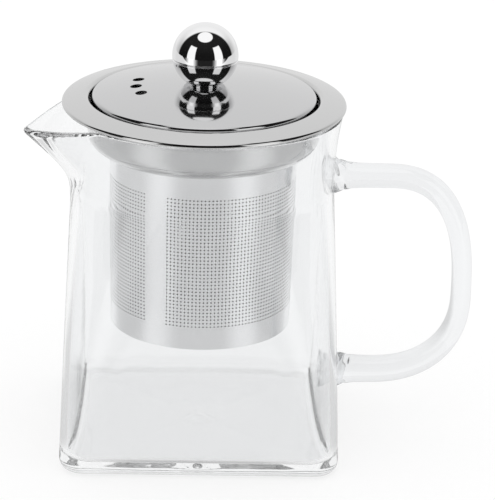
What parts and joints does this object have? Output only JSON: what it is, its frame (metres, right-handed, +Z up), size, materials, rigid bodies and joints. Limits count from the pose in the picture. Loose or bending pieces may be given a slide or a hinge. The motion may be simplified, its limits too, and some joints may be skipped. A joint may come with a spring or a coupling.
{
  "type": "glass teapot",
  "caption": "Glass teapot with a square base, round neck, V spout and glass loop handle, holding a lift-out perforated steel infuser under a domed steel lid with a ball knob.",
  "frame": {"origin": "centre of the flat underside, on the axis of the neck", "axes": "+Z up, +X towards the handle, -X towards the spout"},
  "size_m": [0.1471, 0.0914, 0.1384],
  "materials": {
    "clear_glass": "clear, fire-polished",
    "polished_steel": "polished",
    "strainer_steel": "satin",
    "lid_steel": "polished",
    "knob_steel": "mirror polished",
    "screw_steel": "plain"
  },
  "bodies": {
    "pot": {"glass_body": "clear_glass", "handle": "clear_glass"},
    "infuser": {"infuser_collar": "polished_steel", "strainer_wall": "strainer_steel", "strainer_base": "strainer_steel"},
    "lid": {"lid_dome": "lid_steel", "knob_upper_half": "knob_steel", "knob_lower_half": "knob_steel", "knob_neck": "knob_steel", "knob_nut": "screw_steel", "knob_screw": "screw_steel", "screw_washer": "screw_steel"}
  },
  "joints": [
    {"name": "infuser_lift", "type": "slide", "parent": "pot", "child": "infuser", "axis": [0, 0, 1], "range_m": [0, 0.11]},
    {"name": "lid_lift", "type": "slide", "parent": "infuser", "child": "lid", "axis": [0, 0, 1], "range_m": [0, 0.06]}
  ]
}
